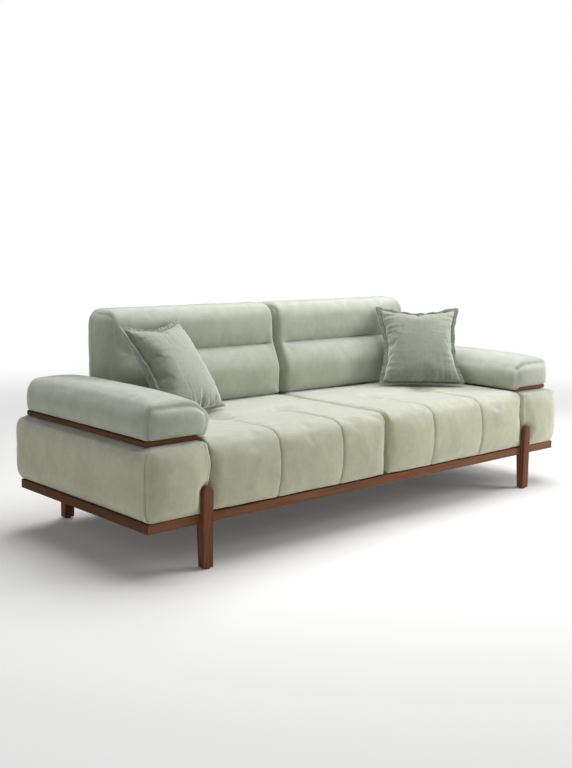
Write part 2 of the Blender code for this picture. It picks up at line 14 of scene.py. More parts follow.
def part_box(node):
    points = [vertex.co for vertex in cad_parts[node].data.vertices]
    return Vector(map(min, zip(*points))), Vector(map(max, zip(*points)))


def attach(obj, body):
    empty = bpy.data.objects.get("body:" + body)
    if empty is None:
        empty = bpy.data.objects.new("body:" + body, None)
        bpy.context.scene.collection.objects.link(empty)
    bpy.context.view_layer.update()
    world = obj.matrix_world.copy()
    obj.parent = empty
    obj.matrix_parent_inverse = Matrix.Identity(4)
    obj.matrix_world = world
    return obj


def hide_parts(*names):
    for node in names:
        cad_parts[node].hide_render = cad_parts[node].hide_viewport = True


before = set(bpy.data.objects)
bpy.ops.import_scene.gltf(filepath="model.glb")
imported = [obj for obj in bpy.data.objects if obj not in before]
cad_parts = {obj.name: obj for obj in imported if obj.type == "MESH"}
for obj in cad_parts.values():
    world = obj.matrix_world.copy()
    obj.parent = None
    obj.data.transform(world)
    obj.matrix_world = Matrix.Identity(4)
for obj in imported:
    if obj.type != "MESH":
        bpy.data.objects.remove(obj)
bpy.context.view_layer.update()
HANDS = (("left", -1), ("right", 1))

# Camera
CAMERA_PLACE = (-2.918, -3.042, 1.088)
CAMERA_YAW = 0.7370
CAMERA_PITCH = -0.1419
CAMERA_ROLL = 0.0139
CAMERA_LENS = 49.11

# Studio: each light's name, place, size and power; they all face the middle of the sofa
AMBIENT = 0.05
LIGHTS = (
    ("key", (2.9, -2.0, 1.6), 1.5, 62),
    ("overhead", (0.6, 0.3, 3.3), 3.4, 162),
    ("overhead_front", (0.2, -1.8, 3.2), 2.4, 4),
    ("fill", (-3.3, 0.2, 1.5), 2.2, 11),
)
LIGHTS_AIM = (0, 0, 0.35)
FLOOR_GLOW = 0.080
FLOOR_FADE = (1.5, 4.8)

# Places in the frame that the soft pieces are set out from
PLINTH_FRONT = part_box("plinth_front_rail")[0].y + 0.002
LEG_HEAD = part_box("leg_front_right")[1].z
TRIM_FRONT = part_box("arm_right_front_moulding")[0].y
TRIM_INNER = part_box("arm_right_front_moulding")[0].x
TRIM_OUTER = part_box("arm_right_side_moulding")[1].x
SEAT_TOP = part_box("seat_right_cover")[1].z

# Upholstery: the lattice, its seams, and where a piece is pressed or leans. A rounding is the reach of
# a rounded edge at the low and the high end of X, Y and Z. TIGHT is the room between two neighbours.
CELL = 0.013
ROUND_CELLS = 3
SEAM_CELLS = (-0.008, -0.0025, 0.0, 0.0025, 0.008)
SEAM_WIDTH = 0.0024
SEAM_CREASE = 0.85
FINE_SEAM = 0.0012
TIGHT = 0.0008
LEG_CLEARANCE = 0.0007
PRESSED_SLOPE = 1.1
ARM_LINE_X = 0.868
ARM_LEAN = 0.017
ARM_LEAN_FROM = -0.28
ARM_LEAN_Z = 0.345
ARM_LEAN_WIDTH = 0.045
ARM_LEAN_RUN = 0.08
ARM_LEAN_HEIGHT = 0.060

# Seats
SEAT_ROUNDING = ((0.008, 0.007), (0.042, 0.030), (0.006, 0.034))
SEAT_SEAMS = (0.255, 0.559)
SEAT_GAP = 0.0048
SEAT_FRONT_SWELL = 0.026
SEAT_BACK_SWELL = 0.008
CHANNEL_FRONT_DEPTH = 0.0078
CHANNEL_TOP_DEPTHS = (0.0024, 0.0054)
CHANNEL_ROLL = 0.22
CHANNEL_ROLL_WIDTH = 0.002
TUFT_Y = -0.090
TUFT_DEPTH = 0.025
TUFT_RADIUS = 0.036
TUFT_FOLDS = 7
TUFT_FOLD_DEPTH = 0.0026
SEAT_RIPPLE = 0.0011
SEAT_RIPPLE_SCALE = 9.0
UNDER_BACK = 0.016
UNDER_PAD = 0.006

# Arms: ARM_OUTER is how far the base's outer panel stands out past the moulding before it bows
ARM_ROUNDING = ((0.009, 0.014), (0.008, 0.008), (0.005, 0.010))
ARM_HEM = 0.014
ARM_HEM_DEPTH = 0.0026
ARM_OUTER = 0.014
ARM_BOW = 0.018
ARM_BOW_REAR = 0.003
ARM_BOW_POWERS = (7, 9)
ARM_END_BOW = (0.002, 0.010)
ARM_SIDE_SWELL = 0.003
ARM_FRONT_SWELL = 0.034
ARM_REAR_SWELL = 0.014
ARM_SEAM_DEPTH = 0.0042
PAD_ROUNDING = ((0.085, 0.034), (0.016, 0.040), (0.007, 0.056))
PAD_TOP_SWELL = 0.014
PAD_SIDE_SWELL = 0.006
PAD_FRONT_SWELL = 0.018
PAD_REAR_SWELL = 0.024
PAD_SLOPE_WIDTH = 0.100
PAD_SLOPE = 0.014
PAD_TUCK = 0.013
PAD_CORNER_TURN = 0.006
PAD_CORNER_FROM = 0.27
PAD_DROP_RUN = 0.016
PAD_SEAM_DEPTH = 0.0040
PAD_TOP_SEAM_DEPTH = 0.0016

# Backs: the lobe is the part below the crease, which comes forward of the roll above it
BACK_ROUNDING = ((0.024, 0.026), (0.050, 0.034), (0.008, 0.060))
BACK_GAP = 0.0050
BACK_ROLL_SET = 0.050
LOBE_DEPTH = 0.044
LOBE_CROWN = 0.014
LOBE_FADE = 0.16
LOBE_LEFT = 0.45
ROLL_LEAN = 0.014
CREASE_Z = 0.637
CREASE_DEPTH = 0.019
CREASE_WIDTH = 0.0036
CREASE_DIP = 0.007
CREASE_DIP_HEIGHT = 0.028
CREASE_INNER_END = 0.040
CREASE_OUTER_END = 0.115
CREASE_FADES = (0.020, 0.040)
BACK_SIDE_SWELL = 0.013
BACK_SEAM_DEPTH = 0.0018

# Stitches
STITCH_PITCH = 0.0056
STITCH_LENGTH = 0.0040
STITCH_RADIUS = 0.00055
STITCH_OFFSET = 0.0075

# Loose cushions, turned as the frame's are: tilt back about X, then turn about Z, in degrees.
# CUSHION_FILLED is half the side of the filled square, which the border goes round.
CUSHION_TURNS = {"left": (-34.0, 20.6), "right": (-32.5, -40.2)}
CUSHION_FILLED = 0.1725
CUSHION_THICKNESS = 0.146
CUSHION_CELL = 0.0052
CUSHION_RIM = 0.006
CUSHION_PULL = 0.013
CUSHION_WOBBLE = 0.0016
CUSHION_WOBBLE_SCALE = 30
CUSHION_FOLD = 0.0085
CUSHION_SETTLED = 0.90
CUSHION_SAG = 0.014
CUSHION_SEAM_OUT = 0.0035
CUSHION_SEAM_SPREAD = 0.004
BORDER_WIDTH = 0.020
BORDER_ROWS = (-0.004, 0.003, 0.0065, 0.010, 0.014, 0.018, BORDER_WIDTH)
BORDER_WALL = 0.0042
BORDER_WAVES = ((23, 1, 0.5), (61, 2, 0.3), (101, 3, 0.25))
BORDER_SWAY = 0.0042
BORDER_TUCKED = 0.45
BORDER_PUCKER = 0.10


# Mesh tools


def new_object(name, points, faces):
    mesh = bpy.data.meshes.new(name)
    mesh.from_pydata([tuple(p) for p in points], [], faces)
    mesh.validate()
    obj = bpy.data.objects.new(name, mesh)
    bpy.context.scene.collection.objects.link(obj)
    mesh.shade_smooth()
    return obj


def coordinates(obj):
    flat = np.zeros(len(obj.data.vertices) * 3)
    obj.data.vertices.foreach_get("co", flat)
    return flat.reshape(-1, 3)


def set_coordinates(obj, points):
    obj.data.vertices.foreach_set("co", points.ravel())
    obj.data.update()


def stations(low, high, rounding, marks=(), cell=CELL):
    """Cut places along one side: close in each rounded end and at each seam, even cells between."""
    first, last = low + rounding[0], high - rounding[1]
    count = max(2, round((last - first) / cell))
    places = [first + (last - first) * i / count for i in range(count + 1)]
    for mark in marks:
        near = abs(SEAM_CELLS[0]) + cell / 3
        places = [p for p in places if abs(p - mark) > near] + [mark + d for d in SEAM_CELLS]
    for start, reach in ((low, rounding[0]), (high, -rounding[1])):
        places += [start + reach * i / ROUND_CELLS for i in range(ROUND_CELLS)]
    return sorted(set(places))


def lattice_shell(xs, ys, zs):
    """Points and quads of a box's surface, cut at the places given for each axis."""
    index = {}
    points = []
    faces = []

    def at(i, j, k):
        if (i, j, k) not in index:
            index[i, j, k] = len(points)
            points.append((xs[i], ys[j], zs[k]))
        return index[i, j, k]

    nx, ny, nz = len(xs) - 1, len(ys) - 1, len(zs) - 1
    for i in range(nx):
        for j in range(ny):
            faces.append([at(i, j, 0), at(i, j + 1, 0), at(i + 1, j + 1, 0), at(i + 1, j, 0)])
            faces.append([at(i, j, nz), at(i + 1, j, nz), at(i + 1, j + 1, nz), at(i, j + 1, nz)])
    for i in range(nx):
        for k in range(nz):
            faces.append([at(i, 0, k), at(i + 1, 0, k), at(i + 1, 0, k + 1), at(i, 0, k + 1)])
            faces.append([at(i, ny, k), at(i, ny, k + 1), at(i + 1, ny, k + 1), at(i + 1, ny, k)])
    for j in range(ny):
        for k in range(nz):
            faces.append([at(0, j, k), at(0, j, k + 1), at(0, j + 1, k + 1), at(0, j + 1, k)])
            faces.append([at(nx, j, k), at(nx, j + 1, k), at(nx, j + 1, k + 1), at(nx, j, k + 1)])
    return np.array(points), faces


class SoftBox:
    """A rounded, swollen box of fabric on a lattice.

    flat holds each point's place on the plain box, where seams are laid out, and shape its place on
    the rounded one. normal points out of the shape, pin is how firmly cloth is held there, and seam
    says which points lie on a seam.
    """

    def __init__(self, low, high, radii, marks=((), (), ()), cell=CELL):
        self.low, self.high = np.array(low, float), np.array(high, float)
        self.radii = np.array(radii, float)
        cuts = [stations(low[a], high[a], radii[a], marks[a], cell) for a in range(3)]
        self.flat, self.faces = lattice_shell(*cuts)
        core = np.clip(self.flat, self.low + self.radii[:, 0], self.high - self.radii[:, 1])
        radius = np.where(self.flat < core, self.radii[:, 0], self.radii[:, 1])
        out = (self.flat - core) / radius
        out /= np.linalg.norm(out, axis=1)[:, None]
        self.shape = core + out * radius
        slope = out / radius
        self.normal = slope / np.linalg.norm(slope, axis=1)[:, None]
        self.pin = np.zeros(len(self.flat))
        self.seam = np.zeros(len(self.flat), bool)

    def face(self, axis, side):
        """Which points lie on one face of the plain box, edges included."""
        edge = (self.low, self.high)[side][axis]
        return np.abs(self.flat[:, axis] - edge) < 1e-7

    def swell(self, axis, side, amount, powers, centre=(0.0, 0.0)):
        """Bulges one face: the swell is amount in its middle and nothing at its edges."""
        across = [a for a in range(3) if a != axis]
        spread = np.ones(len(self.flat))
        for a, power, shift in zip(across, powers, centre):
            reach = 2 * (self.flat[:, a] - self.low[a]) / (self.high[a] - self.low[a]) - 1 - shift
            spread *= np.clip(1 - np.abs(reach / (1 + abs(shift))) ** power, 0, 1)
        middle = (self.low[axis] + self.high[axis]) / 2
        half = (self.high[axis] - self.low[axis]) / 2
        share = np.clip((self.flat[:, axis] - middle) / half * (1 if side else -1), 0, 1)
        self.shape[:, axis] += amount * spread * share * (1 if side else -1)

    def groove(self, distance, depth, width=SEAM_WIDTH):
        """Sinks a seam where distance is nothing, by depth, which may differ from point to point."""
        sink = depth * np.exp(-((distance / width) ** 2))
        self.shape -= self.normal * sink[:, None]
        here = (distance < 1e-6) & (depth > 1e-4)
        self.seam |= here
        self.pin[here] = 1.0

    def edge_seam(self, axis_a, side_a, axis_b, side_b, depth):
        """A seam along the edge between two faces of the box."""
        first = np.abs(self.flat[:, axis_a] - (self.low, self.high)[side_a][axis_a])
        second = np.abs(self.flat[:, axis_b] - (self.low, self.high)[side_b][axis_b])
        here = self.face(axis_a, side_a) | self.face(axis_b, side_b)
        self.groove(np.where(here, first + second, 1.0), depth * np.ones(len(first)))

    def dimple(self, centre, depth, radius, folds=0, fold_depth=0.0, phase=0.0):
        """A soft dent round a point, held in its middle, with folds running out of it."""
        away = self.shape - np.array(centre)
        along = away - self.normal * np.sum(away * self.normal, axis=1)[:, None]
        reach = np.linalg.norm(away, axis=1)
        sink = depth * np.exp(-((reach / radius) ** 2))
        if folds:
            main = np.argmax(np.abs(self.normal[np.argmin(reach)]))
            u, v = [a for a in range(3) if a != main]
            angle = np.arctan2(along[:, v], along[:, u])
            ring = (reach / radius) * np.exp(1 - (reach / radius) ** 1.5)
            sink += fold_depth * ring * (0.5 + 0.5 * np.cos(folds * angle + phase))
        self.shape -= self.normal * sink[:, None]
        self.pin[reach < max(radius / 3, reach.min() + 1e-6)] = 1.0

    def build(self, name):
        obj = new_object(name, self.shape, self.faces)
        group = obj.vertex_groups.new(name="held")
        group.add([int(i) for i in np.nonzero(self.pin)[0]], 1.0, "REPLACE")
        ends = np.zeros(len(obj.data.edges) * 2, int)
        obj.data.edges.foreach_get("vertices", ends)
        crease = np.where(self.seam[ends.reshape(-1, 2)].all(axis=1), SEAM_CREASE, 0.0)
        obj.data.attributes.new("crease_edge", "FLOAT", "EDGE").data.foreach_set("value", crease)
        return obj


def inflate(obj, pressure, cap, frames=18, slack=0.0, bending=0.4, stiffness=12.0, held=True):
    """Blows the piece up as cloth, then keeps each point within cap of where it started."""
    start = coordinates(obj)
    cloth = obj.modifiers.new("Cloth", "CLOTH")
    settings = cloth.settings
    settings.quality = 4
    settings.mass = 0.3
    settings.tension_stiffness = stiffness
    settings.compression_stiffness = stiffness
    settings.shear_stiffness = stiffness / 3
    settings.bending_stiffness = bending
    settings.shrink_min = -slack
    settings.use_pressure = True
    settings.uniform_pressure_force = pressure
    settings.effector_weights.gravity = 0
    if held:
        settings.vertex_group_mass = "held"
    cloth.collision_settings.use_self_collision = False
    cloth.collision_settings.use_collision = False
    cloth.point_cache.frame_start = 1
    cloth.point_cache.frame_end = frames
    scene = bpy.context.scene
    for step in range(1, frames + 1):
        scene.frame_set(step)
    graph = bpy.context.evaluated_depsgraph_get()
    found = bpy.data.meshes.new_from_object(obj.evaluated_get(graph))
    blown = np.zeros(len(found.vertices) * 3)
    found.vertices.foreach_get("co", blown)
    bpy.data.meshes.remove(found)
    obj.modifiers.remove(cloth)
    scene.frame_set(1)
    move = blown.reshape(-1, 3) - start
    length = np.linalg.norm(move, axis=1)
    limited = cap * np.tanh(length / cap)
    set_coordinates(obj, start + move * (limited / np.maximum(length, 1e-9))[:, None])
    return obj


def bounded(obj, low, high):
    """Keeps every point of a piece between two corners."""
    set_coordinates(obj, np.clip(coordinates(obj), low, high))
    return obj


def subdivided(obj, levels=1):
    fine = obj.modifiers.new("Subdivision", "SUBSURF")
    fine.levels = levels
    fine.render_levels = levels
    return obj


def mirrored(obj, name):
    """A copy of a piece on the other side of the centre plane."""
    twin = obj.copy()
    twin.data = obj.data.copy()
    twin.name = name
    twin.data.name = name
    bpy.context.scene.collection.objects.link(twin)
    twin.data.transform(Matrix.Diagonal((-1, 1, 1, 1)))
    twin.data.flip_normals()
    return twin


def surface_tree(obj):
    graph = bpy.context.evaluated_depsgraph_get()
    return BVHTree.FromObject(obj, graph)


# Stitches


def even_points(path, pitch):
    """Points along a path, a pitch apart."""
    path = np.array(path, float)
    steps = np.linalg.norm(np.diff(path, axis=0), axis=1)
    run = np.concatenate([[0], np.cumsum(steps)])
    marks = np.arange(pitch / 2, run[-1], pitch)
    return np.stack([np.interp(marks, run, path[:, a]) for a in range(3)], axis=1)


def stitch_rings(start, end, out, sides=5):
    """Rings of one stitch, a short thread that dips in at both ends."""
    along = (end - start).normalized()
    across = along.cross(out).normalized()
    rings = []
    for share, width, rise in ((0.0, 0.5, -0.6), (0.25, 1.0, 0.5), (0.75, 1.0, 0.5), (1.0, 0.5, -0.6)):
        middle = start.lerp(end, share) + out * STITCH_RADIUS * rise
        for i in range(sides):
            turn = 2 * math.pi * i / sides
            spoke = across * math.cos(turn) + out * math.sin(turn)
            rings.append(middle + spoke * STITCH_RADIUS * width)
    return rings


def sew(name, obj, paths, body, surface, sides=5):
    """Rows of stitches on a piece, each row along a path that is laid onto the piece's surface."""
    tree = surface_tree(obj)
    points = []
    faces = []
    for path in paths:
        places = even_points(path, STITCH_PITCH)
        laid = [tree.find_nearest(Vector(p)) for p in places]
        for (here, out, *_), (there, *_) in zip(laid, laid[1:]):
            gap = there - here
            if gap.length < 1e-5:
                continue
            first = len(points)
            end = here + gap * (STITCH_LENGTH / STITCH_PITCH)
            points += stitch_rings(here, end, out, sides)
            for ring in range(3):
                for i in range(sides):
                    a = first + ring * sides + i
                    b = first + ring * sides + (i + 1) % sides
                    faces.append([a, b, b + sides, a + sides])
            faces.append([first + i for i in reversed(range(sides))])
            faces.append([first + 3 * sides + i for i in range(sides)])
    thread = new_object(name, points, faces)
    thread.data.materials.append(surface)
    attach(thread, body)
    return thread


# Materials


def add(tree, kind, settings=None, **inputs):
    """Adds a node; an input is a value, or another node's output to link from."""
    made = tree.nodes.new(kind)
    for key, value in (settings or {}).items():
        setattr(made, key, value)
    for key, value in inputs.items():
        socket = made.inputs[int(key[1:])] if key[0] == "_" else made.inputs[key.replace("_", " ")]
        if isinstance(value, bpy.types.NodeSocket):
            tree.links.new(value, socket)
        else:
            socket.default_value = value
    return made


def ramp(tree, factor, stops):
    """A colour ramp with the given (position, value or colour) stops."""
    made = add(tree, "ShaderNodeValToRGB", Fac=factor)
    elements = made.color_ramp.elements
    while len(elements) < len(stops):
        elements.new(0.5)
    for element, (position, value) in zip(elements, stops):
        element.position = position
        element.color = (value, value, value, 1) if isinstance(value, (int, float)) else (*value, 1)
    return made.outputs["Color"]


def noise_field(tree, scale, stretch=(1, 1, 1), detail=3.0, distortion=0.0, roughness=0.55):
    """Noise in metres of the object's own space, squeezed along each axis by stretch."""
    space = add(tree, "ShaderNodeTexCoord").outputs["Object"]
    squeezed = add(tree, "ShaderNodeMapping", Vector=space, Scale=stretch).outputs["Vector"]
    return add(tree, "ShaderNodeTexNoise", Vector=squeezed, Scale=scale, Detail=detail,
               Distortion=distortion, Roughness=roughness).outputs["Fac"]


def blended(tree, kind, factor, first, second):
    made = add(tree, "ShaderNodeMix", {"data_type": "RGBA", "blend_type": kind}, Factor=factor,
               _6=first, _7=second)
    return made.outputs[2]


def bumped(tree, heights, distance, strength=1.0):
    """One bump on another: heights is a list of (field, share of the distance)."""
    normal = None
    for field, share in heights:
        inputs = {"Height": field, "Distance": distance * share, "Strength": strength}
        if normal is not None:
            inputs["Normal"] = normal
        normal = add(tree, "ShaderNodeBump", **inputs).outputs["Normal"]
    return normal


def new_material(name):
    surface = bpy.data.materials.new(name)
    surface.use_nodes = True
    tree = surface.node_tree
    return surface, tree, tree.nodes["Principled BSDF"]


def nubuck(name, colour, edge_wear_and_painted_top_sheen, brushed=(1.0, 1.0, 0.3), patch=5.0, contrast=0.10):
    """A short-napped microfibre: brushed patches, a faint woven ground and a fine fibre bump.

    The colour after the base colour is a painted top sheen: the cloth is painted towards it where it
    faces up, lighter and more neutral, for the sheen the tops catch.
    """
    surface, tree, shader = new_material(name)
    dark = tuple(c * (1 - contrast) for c in colour)
    light = tuple(min(1.0, c * (1 + contrast)) for c in colour)
    patches = noise_field(tree, patch, brushed, 3.0, 0.7)
    base = ramp(tree, patches, [(0.32, dark), (0.5, colour), (0.70, light)])
    # Painted sheen: the tops are painted lighter and more neutral by how far the surface faces up.
    facing = add(tree, "ShaderNodeSeparateXYZ", _0=add(tree, "ShaderNodeNewGeometry").outputs["Normal"])
    painted_top_sheen_share = ramp(tree, facing.outputs["Z"], [(0.25, 0.0), (0.85, 1.0)])
    base = blended(tree, "MIX", painted_top_sheen_share, base, (*edge_wear_and_painted_top_sheen, 1))
    mottle = noise_field(tree, 27.0, (1, 1, 0.7), 4.0, 0.4)
    base = blended(tree, "MULTIPLY", 0.60, base, ramp(tree, mottle, [(0.3, 0.84), (0.7, 1.10)]))
    warp = noise_field(tree, 1.0, (260, 260, 18), 2.0)
    weft = noise_field(tree, 1.0, (18, 18, 260), 2.0)
    base = blended(tree, "MULTIPLY", 0.28, base, ramp(tree, warp, [(0.3, 0.90), (0.7, 1.06)]))
    base = blended(tree, "MULTIPLY", 0.22, base, ramp(tree, weft, [(0.3, 0.90), (0.7, 1.06)]))
    fibre = noise_field(tree, 950.0, (1, 1, 1), 2.0)
    base = blended(tree, "MULTIPLY", 0.30, base, ramp(tree, fibre, [(0.3, 0.84), (0.7, 1.08)]))
    tree.links.new(base, shader.inputs["Base Color"])
    rough = ramp(tree, patches, [(0.3, 0.80), (0.7, 0.94)])
    tree.links.new(rough, shader.inputs["Roughness"])
    normal = bumped(tree, [(mottle, 1.0), (warp, 0.25), (weft, 0.25), (fibre, 0.30)], 0.0007, 0.6)
    tree.links.new(normal, shader.inputs["Normal"])
    shader.inputs["Specular IOR Level"].default_value = 0.5
    shader.inputs["Sheen Weight"].default_value = 1.0
    shader.inputs["Sheen Roughness"].default_value = 0.34
    shader.inputs["Sheen Tint"].default_value = (1.0, 1.0, 0.97, 1)
    return surface


def velvet(name, colour, sheen=1.0):
    """A cut pile: nap laid this way and that in soft patches, with a bright sheen at the folds."""
    surface, tree, shader = new_material(name)
    dark = tuple(c * 0.90 for c in colour)
    light = tuple(min(1.0, c * 1.10) for c in colour)
    nap = noise_field(tree, 9.0, (1.0, 1.0, 0.6), 3.0, 0.6)
    base = ramp(tree, nap, [(0.30, dark), (0.5, colour), (0.72, light)])
    crush = noise_field(tree, 70.0, (1, 1, 1), 3.0, 1.0)
    base = blended(tree, "MULTIPLY", 0.6, base, ramp(tree, crush, [(0.3, 0.86), (0.7, 1.08)]))
    pile = noise_field(tree, 1300.0, (1, 1, 1), 1.0)
    base = blended(tree, "MULTIPLY", 0.4, base, ramp(tree, pile, [(0.3, 0.80), (0.7, 1.10)]))
    tree.links.new(base, shader.inputs["Base Color"])
    tree.links.new(ramp(tree, nap, [(0.3, 0.70), (0.7, 0.88)]), shader.inputs["Roughness"])
    normal = bumped(tree, [(crush, 1.0), (pile, 0.35)], 0.0008, 0.6)
    tree.links.new(normal, shader.inputs["Normal"])
    shader.inputs["Specular IOR Level"].default_value = 0.2
    shader.inputs["Sheen Weight"].default_value = sheen
    shader.inputs["Sheen Roughness"].default_value = 0.55
    shader.inputs["Sheen Tint"].default_value = (0.94, 1.0, 0.92, 1)
    return surface


def walnut(name, axis, seed=0.0, depth=1.0):
    """Oiled walnut with its grain along one axis, open pores and edges lightened by wear.

    depth scales the colour; less than 1 paints it darker, which the side rails and side mouldings use
    as painted shade.
    """
    surface, tree, shader = new_material(name)
    grain = [46.0, 46.0, 46.0]
    grain[axis] = 2.2
    pores = [620.0, 620.0, 620.0]
    pores[axis] = 22.0
    bands = noise_field(tree, 1.0, grain, 5.0, 1.1 + seed)
    tones = ((0.26, (0.090, 0.036, 0.019)), (0.46, (0.182, 0.076, 0.042)),
             (0.60, (0.238, 0.104, 0.058)), (0.78, (0.124, 0.050, 0.027)))
    base = ramp(tree, bands, [(place, tuple(c * depth for c in tone)) for place, tone in tones])
    broad = noise_field(tree, 4.0, (1, 1, 1), 2.0, 0.3)
    base = blended(tree, "MULTIPLY", 0.6, base, ramp(tree, broad, [(0.3, 0.84), (0.7, 1.12)]))
    pore = noise_field(tree, 1.0, pores, 2.0)
    base = blended(tree, "MULTIPLY", 0.65, base, ramp(tree, pore, [(0.34, 0.48), (0.48, 1.0)]))
    point = add(tree, "ShaderNodeNewGeometry").outputs["Pointiness"]
    edge_wear_and_painted_top_sheen = ramp(tree, point, [(0.52, 0.0), (0.62, 0.5)])
    base = blended(tree, "MIX", edge_wear_and_painted_top_sheen, base, (0.26 * depth, 0.115 * depth, 0.055 * depth, 1))
    tree.links.new(base, shader.inputs["Base Color"])
    tree.links.new(ramp(tree, bands, [(0.3, 0.46), (0.7, 0.60)]), shader.inputs["Roughness"])
    normal = bumped(tree, [(pore, 0.6), (bands, 1.0)], 0.0003, 0.5)
    tree.links.new(normal, shader.inputs["Normal"])
    shader.inputs["Specular IOR Level"].default_value = 0.04
    return surface


def plain_wood(name, axis):
    """Sawn softwood of the hidden frames."""
    surface, tree, shader = new_material(name)
    grain = [38.0, 38.0, 38.0]
    grain[axis] = 1.6
    bands = noise_field(tree, 1.0, grain, 4.0, 0.8)
    tones = [(0.3, (0.42, 0.27, 0.14)), (0.55, (0.60, 0.43, 0.25)), (0.8, (0.48, 0.31, 0.16))]
    base = ramp(tree, bands, tones)
    tree.links.new(base, shader.inputs["Base Color"])
    tree.links.new(ramp(tree, bands, [(0.3, 0.60), (0.7, 0.80)]), shader.inputs["Roughness"])
    tree.links.new(bumped(tree, [(bands, 1.0)], 0.0006, 0.7), shader.inputs["Normal"])
    return surface


def fine_grained(name, colour, rough, metallic=0.0, scale=400.0, bump=0.0002):
    """A plain moulded, drawn or felted surface with a fine uneven grain."""
    surface, tree, shader = new_material(name)
    field = noise_field(tree, scale, (1, 1, 1), 3.0, 0.2)
    dark = tuple(c * 0.82 for c in colour)
    light = tuple(min(1.0, c * 1.12) for c in colour)
    tree.links.new(ramp(tree, field, [(0.3, dark), (0.7, light)]), shader.inputs["Base Color"])
    uneven = ramp(tree, field, [(0.3, rough - 0.08), (0.7, rough + 0.08)])
    tree.links.new(uneven, shader.inputs["Roughness"])
    tree.links.new(bumped(tree, [(field, 1.0)], bump, 0.7), shader.inputs["Normal"])
    shader.inputs["Metallic"].default_value = metallic
    return surface


# Each nubuck's second colour is its painted top sheen, lighter and more neutral than the cloth.
SEAT_FABRIC = nubuck("seat_nubuck", (0.495, 0.506, 0.358), (0.510, 0.522, 0.436), contrast=0.09)
BACK_FABRIC = nubuck("back_nubuck", (0.405, 0.436, 0.344), (0.480, 0.502, 0.430), contrast=0.07)
VELVET = velvet("cushion_velvet", (0.252, 0.274, 0.214))
# The border's velvet is the cushion velvet painted darker, as painted shade along the border, with less
# sheen.
BORDER_VELVET_PAINTED_SHADE = velvet("border_velvet_painted_shade", (0.185, 0.204, 0.160), 0.7)
SEAT_THREAD = fine_grained("seat_thread", (0.43, 0.45, 0.34), 0.7)
BACK_THREAD = fine_grained("back_thread", (0.33, 0.37, 0.29), 0.7)
VELVET_THREAD = fine_grained("cushion_thread", (0.16, 0.19, 0.14), 0.7)


def finish_piece(obj, body, surface, nodes):
    """Gives a soft piece its fabric, hangs it on its body and hides the frame's nodes that it stands
    for.
    """
    obj.data.materials.clear()
    obj.data.materials.append(surface)
    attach(obj, body)
    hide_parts(*nodes)


def clear_of_legs(obj, side):
    """Presses a piece in behind the heads of the front and rear legs on its side."""
    points = coordinates(obj)
    for row, out in (("front", -1), ("rear", 1)):
        low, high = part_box(f"leg_{row}_{'left' if side < 0 else 'right'}")
        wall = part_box(f"plinth_{'front' if out < 0 else 'back'}_rail")
        face = wall[0].y if out < 0 else wall[1].y
        middle = (low.x + high.x) / 2
        half = (high.x - low.x) / 2
        head = high.z - half
        aside = np.abs(points[:, 0] - middle)
        above = np.maximum(points[:, 2] - head, 0)
        beyond = np.where(above > 0, np.hypot(aside, above), aside) - half
        reach = abs(face) - LEG_CLEARANCE + PRESSED_SLOPE * np.maximum(beyond - 0.0015, 0)
        points[:, 1] = np.where(points[:, 1] * out > reach, reach * out, points[:, 1])
    set_coordinates(obj, points)
    return obj


def leaned_in(obj):
    """Leans the line between the arm and the seat towards the seat above the front leg."""
    points = coordinates(obj)
    near = np.exp(-((np.abs(points[:, 0]) - ARM_LINE_X) / ARM_LEAN_WIDTH) ** 2)
    forward = np.clip((ARM_LEAN_FROM - points[:, 1]) / ARM_LEAN_RUN, 0, 1)
    height = np.exp(-((points[:, 2] - ARM_LEAN_Z) / ARM_LEAN_HEIGHT) ** 2)
    points[:, 0] -= np.sign(points[:, 0]) * ARM_LEAN * near * forward * height
    set_coordinates(obj, points)
    return obj


# Seats


